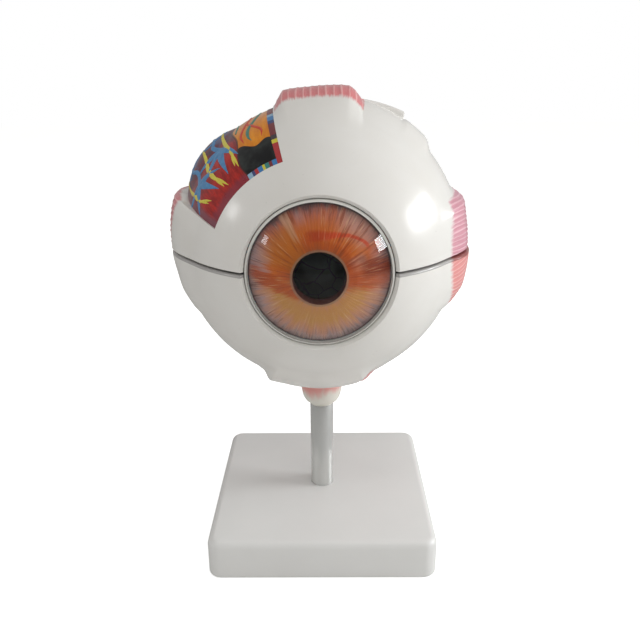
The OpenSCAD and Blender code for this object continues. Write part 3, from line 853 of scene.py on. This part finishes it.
def panel_paint():
    """Anatomical colours of a generic layout, laid out by angle."""
    p = Paint("panel_paint")
    p.set("Specular IOR Level", 0.3)
    theta, phi, _ = p.eye_angles()
    stroke = p.noise(p.combine(phi * 0.42, theta * 0.1), 1.0, 5.0, 0.65)
    patch = p.noise(p.where, 0.12, 3.0)
    by_stroke = (stroke - 0.5) * 3.0
    uneven = patch - 0.5
    mottle = p.ramp(p.voronoi(p.where, 0.16), [
        (0.0, 34, 30, 42), (0.35, 66, 62, 80), (0.55, 92, 40, 52), (0.8, 60, 92, 130),
    ])
    red = p.mix(p.step(stroke, 0.32, 0.66), rgb(132, 20, 18), rgb(186, 40, 30))
    red = p.mix(p.step(theta + uneven * 26.0, 66.0, 80.0) * 0.85, red, mottle)
    red = p.mix(p.step(theta + by_stroke, 50.5, 47.5) * 0.8, red, rgb(132, 48, 62))
    outer = p.step(phi + by_stroke, 63.5, 66.5) * 0.85
    red = p.mix(outer, red, p.mix(stroke, rgb(70, 54, 64), rgb(158, 96, 108)))
    orange = p.mix(p.step(stroke, 0.3, 0.75), rgb(206, 118, 10), rgb(234, 150, 24))
    orange = p.mix(p.step(theta + uneven * 14.0, 70.0, 92.0), orange, rgb(216, 164, 120))
    black = p.mix(p.step(patch, 0.45, 0.75), rgb(12, 12, 14), rgb(44, 48, 46))
    fringe = theta + p.math("SINE", phi * 0.5) * 1.6 - (phi - 28.0) * 0.25
    retina = p.mix(p.step(fringe, 59.6, 60.0), black, orange)
    waves = [p.math("SINE", (theta - start) * rate) * size for size, start, rate in EDGE_WAVES]
    side = phi - (waves[0] + LAYER_PHI + waves[1])
    colour = p.mix(p.step(side, -0.1, 0.1), retina, red)
    colour = p.mix(p.step(abs(side), 0.6, 0.3) * 0.8, colour, rgb(54, 30, 28))
    weathered = p.mix(stroke, rgb(60, 40, 44), rgb(220, 200, 190))

    def below(value, limit):
        return p.step(value, limit + 0.05, limit - 0.05)

    front_band = (
        (0.0, RED), (0.14, BLUE), (0.27, MAROON), (0.36, TEAL), (0.48, YELLOW), (0.55, BLUE), (0.68, RED),
        (0.78, DEEP_BLUE), (0.86, PALE_BLUE),
    )
    side_band = (
        (0.0, RED), (0.15, YELLOW), (0.18, DUSK), (0.22, MAROON), (0.34, DEEP_BLUE), (0.38, BLUE),
        (0.44, PALE_BLUE), (0.48, MAROON), (0.62, DUSK), (0.7, RED), (0.85, TEAL),
    )
    front_end = LAYER_PHI + 1
    for mask, value, start, stop, bands in (
        (below(theta, BAND_THETA) * below(phi, front_end), phi, PANEL_IN, front_end, front_band),
        (below(phi, BAND_PHI), theta, PANEL_FRONT, PANEL_BACK, side_band),
    ):
        stops = [(at, *paint) for at, paint in bands]
        band = p.ramp((value - start) / (stop - start), stops, "CONSTANT")
        colour = p.mix(mask, colour, p.mix(0.1, band, weathered))
    p.colour(colour)
    p.rough(patch, 0.22, 0.38)
    p.bump(stroke, 0.25, 0.2)
    return p


def smooth_path(knots, count=40):
    """A curve through the knots, each (theta, phi, half width)."""
    knots = np.asarray(knots, float)
    padded = np.vstack([2 * knots[0] - knots[1], knots, 2 * knots[-1] - knots[-2]])
    spans = len(knots) - 1
    out = []
    for u in np.linspace(0, spans - 1e-6, count):
        k, t = int(u), u - int(u)
        a, b, c, d = padded[k:k + 4]
        bend = (2 * a - 5 * b + 4 * c - d) * t**2 + (3 * b - a - 3 * c + d) * t**3
        out.append(0.5 * (2 * b + (c - a) * t + bend))
    return np.array(out)


def strokes(name, paths, height=0.3, radius=panel_radius):
    """Raised brush strokes on a surface: low domed ribbons that taper with their widths."""
    points, faces = [], []
    profile = np.linspace(-1, 1, 7)
    for knots in paths:
        line = smooth_path(knots)
        theta, phi, half = line[:, 0], line[:, 1], np.maximum(line[:, 2], 0.04)
        centre = on_eye(theta, phi, radius(theta, phi))
        ahead = np.gradient(centre, axis=0)
        up = centre - EYE_CENTRE
        up /= np.linalg.norm(up, axis=1)[:, None]
        aside = np.cross(ahead, up)
        aside /= np.linalg.norm(aside, axis=1)[:, None]
        start = sum(len(x) for x in points)
        rings = []
        for k in range(len(line)):
            flat = centre[k] + aside[k] * (profile * half[k])[:, None]
            t, f, _ = angles_of(flat)
            lift = height * min(1.0, half[k] / 0.5) * np.sqrt(np.maximum(1 - profile**2, 0)) - 0.06
            top = on_eye(t, f, radius(t, f) + lift)
            low = on_eye(t, f, radius(t, f) - 0.25)[::-1]
            rings.append(np.concatenate([top, low]))
        ring = len(rings[0])
        points.append(np.concatenate(rings))
        faces += grid_faces(len(rings), ring, start, closed=True)
        faces.append(tuple(range(start, start + ring))[::-1])
        last = start + (len(rings) - 1) * ring
        faces.append(tuple(range(last, last + ring)))
    return new_mesh(name, np.concatenate(points), faces, sharp=60.0)


def blades(centre, reaches, angles, width):
    """Wedges that leave one place and taper: the reach of each in theta, and its angle."""
    paths = []
    for n, (reach, angle) in enumerate(zip(reaches, angles)):
        bend = 5 * (-1) ** n
        knots = []
        for t, swell in ((0.0, 0.75), (0.25, 1.0), (0.6, 0.62), (1.0, 0.03)):
            a, far = math.radians(angle + bend * t), reach * t
            knots.append((centre[0] - far * math.cos(a), centre[1] + 1.2 * far * math.sin(a), width * swell))
        paths.append(knots)
    return paths


def forked(knots, reach, width):
    """A stroke that ends in two thin prongs, either side of its last direction."""
    paths = [knots]
    tip, before = np.array(knots[-1][:2]), np.array(knots[-2][:2])
    lead = math.atan2(*(tip - before)[::-1])
    near = tip - 0.8 * (tip - before)
    for turn, share in ((-8.5, 0.8), (8.5, 1.1)):
        a = lead + math.radians(turn)
        end = tip + reach * share * np.array([math.cos(a), math.sin(a)])
        paths.append([(*near, width * 0.5), (*(0.5 * (near + end)), width * 0.75), (*end, 0.04)])
    return paths


def window_strokes():
    """Vein whorls, forked nerves and retinal vessels in a generic layout, with their colours."""
    veins = blades((74, 43.5), (15, 19, 15, 12), (-28, 8, 46, 100), 2.3)
    veins += blades((70, 59), (13, 17, 15, 11), (-58, -14, 26, 76), 2.2)
    veins += [
        [(74, 43.5, 1.6), (80, 46, 1.3), (86, 45, 1.0), (104, 46, 0.7)],
        [(70, 59, 1.6), (77, 57, 1.3), (85, 59, 1.0), (104, 58, 0.7)],
        [(90, 39, 0.5), (84, 47, 1.0), (88, 54, 0.8), (82, 62, 0.4)],
    ]
    nerves = []
    for knots, reach, width in (
        ([(96, 40.5, 0.4), (82, 41, 0.9), (73, 40.5, 1.25), (65, 39.2, 1.1), (60, 39.4, 0.3)], 6.0, 1.0),
        ([(94, 51, 0.4), (80, 50.5, 1.0), (71, 52, 1.4), (62, 51.5, 1.2), (57, 50.2, 0.3)], 6.5, 1.1),
        ([(90, 64, 0.4), (78, 65, 0.8), (69, 64, 1.1), (62, 63.6, 0.9), (58.5, 62, 0.3)], 5.5, 0.9),
    ):
        nerves += forked(knots, reach, width)
    reds = [
        [(100, 31, 0.6), (88, 28, 0.8), (78, 30.5, 1.0), (70, 33, 0.8), (63.5, 32.5, 0.1)],
        [(80, 30.2, 0.7), (73, 27, 0.9), (67, 24, 0.7), (62, 24.5, 0.1)],
    ]
    teals = [
        [(102, 26, 0.5), (90, 24, 0.8), (80, 26, 1.1), (72, 29.4, 1.2), (66, 30, 0.7), (62.5, 29, 0.1)],
        [(94, 34.5, 0.5), (84, 34, 0.7), (76, 35, 0.5)],
    ]
    return (
        ("window_veins", veins, (30, 92, 150), (92, 160, 206)),
        ("window_nerves", nerves, (190, 170, 34), (234, 224, 84)),
        ("retina_arteries", reds, (186, 44, 14), (220, 76, 30)),
        ("retina_veins", teals, (36, 104, 98), (84, 144, 124)),
    )


# --------------------------------------------------------------------- the pieces

def make_base():
    """The moulded block: a rounded square swept over its rounded section."""
    half, _, top = node_box("base")[1]
    corner_r, top_r, foot_r, per_corner, per_side = 7.0, 4.0, 2.0, 14, 18
    recess_r, recess_h, seat_r, seat_h, bolt_r = 7.5, 9.0, 6.6, 3.0, 3.2

    def square_ring(inset, z):
        r = max(corner_r - inset, 0.4)
        flat = half - inset - r
        corner = np.linspace(0, math.pi / 2, per_corner)
        quarter = [(flat + r * math.cos(a), flat + r * math.sin(a)) for a in corner]
        quarter += [(q * flat, flat + r) for q in np.linspace(1, -1, per_side + 2)[1:-1]]
        ring = []
        for c, s in ((1, 0), (0, 1), (-1, 0), (0, -1)):
            ring += [(x * c - y * s, x * s + y * c, z) for x, y in quarter]
        return np.array(ring)

    def round_ring(r, z, like):
        angle = np.arctan2(like[:, 1], like[:, 0])
        return np.stack([r * np.cos(angle), r * np.sin(angle), np.full(len(like), z)], -1)

    def between(ring, r, shares):
        """Rings that lead from a square ring in to a round one at its height."""
        return [ring * [1 - q, 1 - q, 1] + round_ring(r, 0.0, ring) * [q, q, 0] for q in shares]

    at_foot, at_top = (np.radians(np.linspace(0, 90, count)) for count in (9, 13))
    rings = [square_ring(foot_r * (1 - math.sin(a)), foot_r * (1 - math.cos(a))) for a in at_foot]
    rings += [square_ring(top_r * (1 - math.cos(a)), top - top_r * (1 - math.sin(a))) for a in at_top]
    foot, outer = rings[0], rings[-1]
    rings += between(outer, seat_r, (0.3, 0.6, 0.85, 1.0))
    seat_z = top - seat_h
    inside = ((seat_r, seat_z), (bolt_r, seat_z), (bolt_r, recess_h), (recess_r, recess_h), (recess_r, 0))
    rings += [round_ring(r, z, outer) for r, z in inside]
    rings += between(foot, recess_r, (0.7, 0.35)) + rings[:1]
    faces = grid_faces(len(rings), len(foot), closed=True)
    return new_mesh("stand_base", np.concatenate(rings), faces, sharp=40.0)


def make_post():
    low, high = node_box("post")
    r, foot, top, bore_r, pivot_r, chamfer = high[0], low[2], high[2], 3.1, 4.0, 1.0
    shoulder = node_box("thrust_washer")[0][2]
    outline = [
        (bore_r, foot), (r - 0.4, foot), (r, foot + 0.4), (r, shoulder - 0.5), (r - 0.15, shoulder - 0.15),
        (r - 0.5, shoulder), (pivot_r, shoulder), (pivot_r, top - chamfer), (pivot_r - chamfer, top),
        (0.0, top), (0.0, foot + 13), (bore_r, foot + 12), (bore_r, foot),
    ]
    return lathe("stand_post", outline, sharp=25.0)


def make_collar():
    """The funnel between post and eyeball, with its plug and bore."""
    foot, top, foot_r, top_r = collar_low[2], collar_high[2], 6.5, collar_high[0]
    plug_r, bore_r = COLLAR_PLUG_R, COLLAR_BORE_R
    flare = [(0, 0.08), (0.04, 0.26), (0.1, 0.43), (0.26, 0.64), (0.46, 0.76), (0.66, 0.84), (1, 1)]
    smooth = smooth_path([(foot_r + (top_r - foot_r) * r, COLLAR_H * z, 0) for z, r in flare], 36)
    outline = [(bore_r, foot), (6.8, foot)] + [(r, foot + z) for r, z, _ in smooth[1:]]
    outline += [(plug_r, foot + COLLAR_H), (plug_r, top - 0.4), (plug_r - 0.4, top), (0.0, top)]
    outline += [(0.0, top - 1.8), (bore_r, top - 1.8), (bore_r, foot)]
    return lathe("support_funnel", outline, sharp=32.0)


def make_cornea():
    """The clear dome, an even wall out to the rim."""
    curves = []
    for curve_r in (CORNEA_CURVE_R, CORNEA_CURVE_R - CORNEA_T):
        a = np.radians(np.linspace(math.degrees(math.acos(CORNEA_CLEAR_R / curve_r)), 90, 60))
        curves.append(list(zip(curve_r * np.cos(a), CORNEA_APEX - CORNEA_CURVE_R + curve_r * np.sin(a))))
    outer, inner = curves
    return lathe("cornea_dome", outer + inner[::-1] + outer[:1], 256, axis="eye", sharp=30.0)


def make_cornea_rim():
    """The dome's frosted edge and straight skirt, set off from the clear part by a fine groove."""
    outer_centre = CORNEA_APEX - CORNEA_CURVE_R
    inner_r, groove_r = CORNEA_R - CORNEA_T, CORNEA_CLEAR_R + 0.02
    outline = [(inner_r, CORNEA_FOOT), (CORNEA_R - 0.15, CORNEA_FOOT), (CORNEA_R, CORNEA_FOOT + 0.15)]
    for r in (CORNEA_R, CORNEA_R - 0.12, CORNEA_R - 0.5, CORNEA_R - 1.0, groove_r + 0.2, groove_r):
        drop = 0.25 if r in (CORNEA_R, groove_r) else 0.02
        outline.append((r, outer_centre + math.sqrt(CORNEA_CURVE_R**2 - r**2) - drop))
    inner_curve = CORNEA_CURVE_R - CORNEA_T
    outline.append((groove_r, outer_centre + math.sqrt(inner_curve**2 - groove_r**2)))
    outline += [(inner_r, CORNEA_FOOT + 1.0), (inner_r, CORNEA_FOOT)]
    return lathe("cornea_rim", outline, 256, axis="eye", sharp=40.0)


def make_iris():
    """The painted ring with its fibres as fine radial ridges."""
    edge_r, back_y, _ = node_box("iris")[1]
    back, curve_r, wall, rim, pupil_r = -back_y, 58.0, 1.8, 2.2, 11.8
    edge_s = back + rim
    centre = edge_s - math.sqrt(curve_r**2 - edge_r**2)
    turn = np.linspace(0, 360, 720, endpoint=False)
    a = np.radians(turn)
    ridge = 0.5 * np.sin(96 * a + 2 * np.sin(5 * a)) + 0.3 * np.sin(171 * a + 3 * np.sin(3 * a))
    ridge = ridge + 0.2 * np.sin(57 * a)
    rows = []
    for r in [*np.linspace(pupil_r + 0.15, edge_r - 0.3, 60), edge_r]:
        share = (r - pupil_r) / (edge_r - pupil_r)
        fade = math.sin(math.pi * min(1, max(0, share))) ** 0.5
        collarette = 0.18 * math.exp(-((share - 0.24) / 0.06) ** 2)
        drop = 0.22 * (1 - ridge * 0.5) * fade
        rows.append(round_axis(r, centre + math.sqrt(curve_r**2 - r**2) - drop + collarette - 0.2, turn))
    rows += [round_axis(edge_r, back, turn), round_axis(edge_r - wall, back, turn)]
    for r in np.linspace(edge_r - wall, pupil_r, 14):
        rows.append(round_axis(r, min(centre + math.sqrt((curve_r - wall) ** 2 - r**2), edge_s), turn))
    rows.append(round_axis(pupil_r, centre + math.sqrt(curve_r**2 - pupil_r**2) - 0.4, turn))
    rows.append(rows[0])
    points = np.concatenate(rows)
    piece = new_mesh("iris_ring", points, grid_faces(len(rows), len(turn), closed=True), sharp=50.0)
    return piece, edge_r, pupil_r


def nerve_part(name, outline, end, aside=(0.0, 0.0)):
    """Turns an outline of (radius, distance past its end) round the optic nerve's axis."""
    piece = lathe(name, [(r, end + s) for r, s in outline], 96, centre=aside, sharp=40.0)
    co = np.zeros(len(piece.data.vertices) * 3)
    piece.data.vertices.foreach_get("co", co)
    points = turned_to(co.reshape(-1, 3), NERVE_WAY) + EYE_CENTRE * MM
    piece.data.vertices.foreach_set("co", points.ravel())
    piece.data.update()
    return piece


def make_nerve():
    """The optic nerve's sheath and core, with the artery and vein that run in its middle."""
    root, sheath_end = SCLERA_IN_R + 0.3, EYE_R + NERVE_OUT
    core_end = sheath_end + NERVE_CORE_OUT
    r, core_r = NERVE_R, NERVE_CORE_R
    foot = root - sheath_end
    sheath = [(0, foot), (r, foot), (r, -1.0), (r - 0.3, -0.3), (r - 1.0, 0), (core_r + 1.1, 0)]
    sheath += [(core_r + 0.5, -0.2), (core_r + 0.3, -0.8), (0, -0.8), (0, foot)]
    foot = sheath_end - 0.7 - core_end
    core = [(0, foot), (core_r, foot), (core_r, -0.9), (core_r - 0.3, -0.3), (core_r - 0.9, -0.05)]
    core += [(0, -0.05), (0, foot)]
    vessel = [(0, -1.0), (1.25, -1.0), (1.25, -0.1), (1.0, 0), (0, 0), (0, -1.0)]
    return (nerve_part("nerve_sheath", sheath, sheath_end), nerve_part("nerve_core", core, core_end),
            nerve_part("nerve_artery", vessel, core_end, (1.7, 0.3)),
            nerve_part("nerve_vein", vessel, core_end, (-1.7, -0.3)))


def make_lens():
    low, high = node_box("lens")
    r, back, front = high[0], -high[1], -low[1]
    front_h, back_h, edge = 7.5, 10.0, 0.8
    at = front - front_h
    front_r, back_r = ((r * r + (h - edge) ** 2) / (2 * (h - edge)) for h in (front_h, back_h))
    across = np.linspace(0, r, 40)
    outline = [(rho, front - front_r + math.sqrt(front_r**2 - rho**2)) for rho in across]
    outline += [(rho, back + back_r - math.sqrt(back_r**2 - rho**2)) for rho in across[::-1]]
    outline[39] = (r - 0.12, at + edge)
    outline[40] = (r - 0.12, at - edge)
    outline[40:40] = [(r, at + edge - 0.15), (r, at - edge + 0.15)]
    return lathe("lens_body", outline, 160, axis="eye", sharp=30.0)


def ring_lip():
    """The lip that centres the upper half, cut away at the opening and round the nerve."""
    outer, inner = SCLERA_IN_R + LIP_W, SCLERA_IN_R
    outline = [(inner, -1.0), (outer - 0.05, -1.0), (outer, LIP_H - 0.3), (outer - 0.3, LIP_H)]
    outline += [(inner + 0.2, LIP_H), (inner, LIP_H - 0.2), (inner, -1.0)]
    lip = lathe("seam_lip", [(r, EYE_Z + h) for r, h in outline], 256, sharp=30.0)
    front = tube_tool(OPENING_R, 10, 90, (0, -1, 0))
    cut_out(lip, [front, tube_tool(NERVE_R + 0.1, 10, 110, NERVE_WAY)])
    return lip


def make_halves():
    pin_x = SCLERA_IN_R + LIP_W + REST_GAP + PIN_D

    def pin_holes(r, start, stop):
        return [tube_tool(r, start, stop, centre=(x, 0, EYE_Z), segments=32) for x in (-pin_x, pin_x)]

    upper = half_shell("upper_sclera_shell", True)
    groove = tube_tool(SCLERA_IN_R + LIP_W + LIFT_GAP, -5, LIP_H + REST_GAP, segments=192)
    nerve = tube_tool(NERVE_R + LIFT_GAP, 20, 110, NERVE_WAY)
    cut_out(upper, [groove, *pin_holes(PIN_D / 2 + LIFT_GAP, -5, PIN_REACH + REST_GAP), nerve])
    lower = half_shell("lower_sclera_shell", False)
    plug = tube_tool(COLLAR_PLUG_R + 0.1, -20, 0.1, centre=(0, 0, collar_high[2]))
    nerve = tube_tool(NERVE_R + 0.1, 20, 110, NERVE_WAY)
    cut_out(lower, [*pin_holes(PIN_D / 2, -PIN_REACH, 5), plug, nerve])
    paint_attributes(upper, True)
    paint_attributes(lower, False)
    return upper, lower


# ------------------------------------------------------------- building and dressing

def install(piece, body, paint, slot, *nodes):
    """Paints a piece, fixes it to its body and hides the CAD nodes it takes the place of."""
    paint.dress(piece)
    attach(piece, body)
    if nodes:
        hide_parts(*nodes)


def build_stand():
    install(make_base(), "stand", base_paint(), "base_plastic", "base")
    install(make_post(), "stand", chrome_paint(), "chrome", "post")
    paint = collar_paint(collar_low[2], collar_low[2] + COLLAR_H)
    install(make_collar(), "lower_eyeball", paint, "muscle_paint", "support_collar")


def build_sclera():
    upper, lower = make_halves()
    sclera = sclera_paint()
    install(upper, "upper_eyeball", sclera, "sclera_plastic", "upper_sclera")
    install(lower, "lower_eyeball", sclera, "sclera_plastic", "lower_sclera")
    # Painted shade: the lip is painted near black, for the dark of the seam's gap
    lip_shade_paint = plain_paint("seam_lip", (26, 25, 26), (54, 52, 52), roughness=0.3)
    install(ring_lip(), "lower_eyeball", lip_shade_paint, "sclera_plastic")
    install(window_panel(), "upper_eyeball", panel_paint(), "choroid_paint")
    for name, paths, low, high in window_strokes():
        paint = plain_paint(name, low, high, scale=0.5)
        install(strokes(name, paths), "upper_eyeball", paint, "choroid_paint")
    sheath, core, artery, vein = make_nerve()
    install(sheath, "lower_eyeball", plain_paint("nerve_sheath", (212, 196, 140), (232, 220, 172)),
            "nerve_plastic", "optic_nerve")
    fibres = nerve_paint("nerve_fibres", (196, 150, 52), (232, 200, 104))
    install(core, "lower_eyeball", fibres, "nerve_plastic", "optic_nerve")
    install(artery, "lower_eyeball", plain_paint("artery", (168, 30, 26), (204, 56, 46)), "nerve_plastic")
    install(vein, "lower_eyeball", plain_paint("vein", (30, 74, 140), (64, 118, 180)), "nerve_plastic")


def build_inside():
    clear = clear_paint("cornea_clear", rgb(250, 251, 251))
    install(make_cornea(), "front_dome", clear, "clear_plastic", "cornea")
    frosted = plain_paint("cornea_edge", (218, 217, 212), (230, 229, 225), roughness=0.25, relief=0.04)
    install(make_cornea_rim(), "front_dome", frosted, "clear_plastic", "cornea")
    iris, edge_r, pupil_r = make_iris()
    install(iris, "lower_layer", iris_paint(edge_r, pupil_r), "iris_paint", "iris")
    clear = clear_paint("filling_clear", rgb(242, 246, 247), coat=0.8)
    install(make_lens(), "eye_lens", clear, "clear_plastic", "lens")
    choroid, ciliary, steel = choroid_paint(), ciliary_paint(), steel_paint()
    for paint, nodes in (
        (clear, "vitreous_body"), (choroid, "lower_choroid upper_choroid"),
        (ciliary, "lower_ciliary_ring upper_ciliary_ring"),
        (steel, "post_bolt post_washer locating_pins choroid_pins"),
        (plain_paint("nylon", (214, 211, 200), (228, 226, 216), roughness=0.45, scale=0.3), "thrust_washer"),
    ):
        for node in nodes.split():
            paint.dress(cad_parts[node])


# ------------------------------------------------------------ camera, light and floor

# How strong the room's light is, and the floor's own glow where it is seen directly
AMBIENT, FLOOR_GLOW = 0.45, 0.61
WHITE, WARM = (1.0, 1.0, 1.0), (1.0, 0.985, 0.965)


def look_from(place, pitch, yaw, roll):
    """The camera's place in millimetres, looking along +Y, turned by angles in radians."""
    ahead = Vector((math.sin(yaw) * math.cos(pitch), math.cos(yaw) * math.cos(pitch), -math.sin(pitch)))
    right = Vector((math.cos(yaw), -math.sin(yaw), 0))
    up = right.cross(ahead)
    right, up = math.cos(roll) * right + math.sin(roll) * up, math.cos(roll) * up - math.sin(roll) * right
    camera = bpy.data.objects.new("camera", bpy.data.cameras.new("camera"))
    bpy.context.scene.collection.objects.link(camera)
    turn = Matrix((right, up, -ahead)).transposed()
    camera.matrix_world = Matrix.Translation(Vector(place) * MM) @ turn.to_4x4()
    camera.data.sensor_width, camera.data.lens, camera.data.clip_start = 36.0, 40.0, 0.01
    bpy.context.scene.camera = camera


def lamp(name, direction, distance, size, power, colour=WHITE, mirrored=True):
    """A soft lamp that shines on the eyeball from a direction."""
    data = bpy.data.lights.new(name, "AREA")
    data.shape, data.size, data.size_y = "RECTANGLE", size[0], size[1]
    data.energy, data.color = power, colour
    light = bpy.data.objects.new(name, data)
    bpy.context.scene.collection.objects.link(light)
    way = Vector(direction).normalized()
    light.location = Vector(EYE_CENTRE * MM) + way * distance
    light.rotation_euler = (-way).to_track_quat("-Z", "Y").to_euler()
    light.visible_glossy = mirrored


def make_world():
    """White to the camera, and a soft room to everything else: darker behind the camera."""
    world = bpy.data.worlds.new("room")
    bpy.context.scene.world = world
    world.use_nodes = True
    world.node_tree.nodes.clear()
    room = Nodes(world.node_tree)
    back = room.split(room.node("TexCoord", out="Generated"))[1]
    reflected = room.spread(back, -0.95, 0.1, 0.1, 0.42, interpolation_type=SMOOTH)

    def backdrop(strength, colour=WHITE):
        return room.node("Background", {"Color": (*colour, 1.0), "Strength": strength})

    shader = room.stack(room.ray("Glossy"), backdrop(AMBIENT, WARM), backdrop(reflected))
    shader = room.stack(room.seen_directly(), shader, backdrop(1.0))
    room.put(shader, room.tree.nodes.new("ShaderNodeOutputWorld").inputs["Surface"])


def make_floor():
    size = 3000.0
    corners = [(-size, -size, 0), (size, -size, 0), (size, size, 0), (-size, size, 0)]
    floor = new_mesh("floor", corners, [(0, 1, 2, 3)])
    p = Paint("floor", roughness=0.9)
    p.place()
    pale = p.mix(p.noise(p.where, 0.004, 2.0), rgb(240, 240, 239), rgb(244, 244, 243))
    p.colour(p.mix(p.ray("Glossy"), pale, rgb(186, 186, 185)))
    p.set("Specular IOR Level", 0.1)
    p.set("Emission Color", (*WHITE, 1.0))
    p.set("Emission Strength", p.seen_directly() * FLOOR_GLOW)
    p.dress(floor)


build_stand()
build_sclera()
build_inside()
look_from((2.8, -364.8, 253.5), 0.3446, -0.0092, -0.0089)
make_world()
make_floor()
lamp("window_light", (0.96, 0.0, 0.27), 0.9, (0.42, 0.2), 5.0, (0.965, 0.985, 1.0))
lamp("left_light", (-0.9, -0.21, 0.385), 0.9, (0.13, 0.13), 0.45)
lamp("front_light", (0.22, -0.6, 0.77), 1.1, (0.9, 0.7), 3.1, WARM, mirrored=False)
bpy.context.scene.view_settings.view_transform = "Standard"
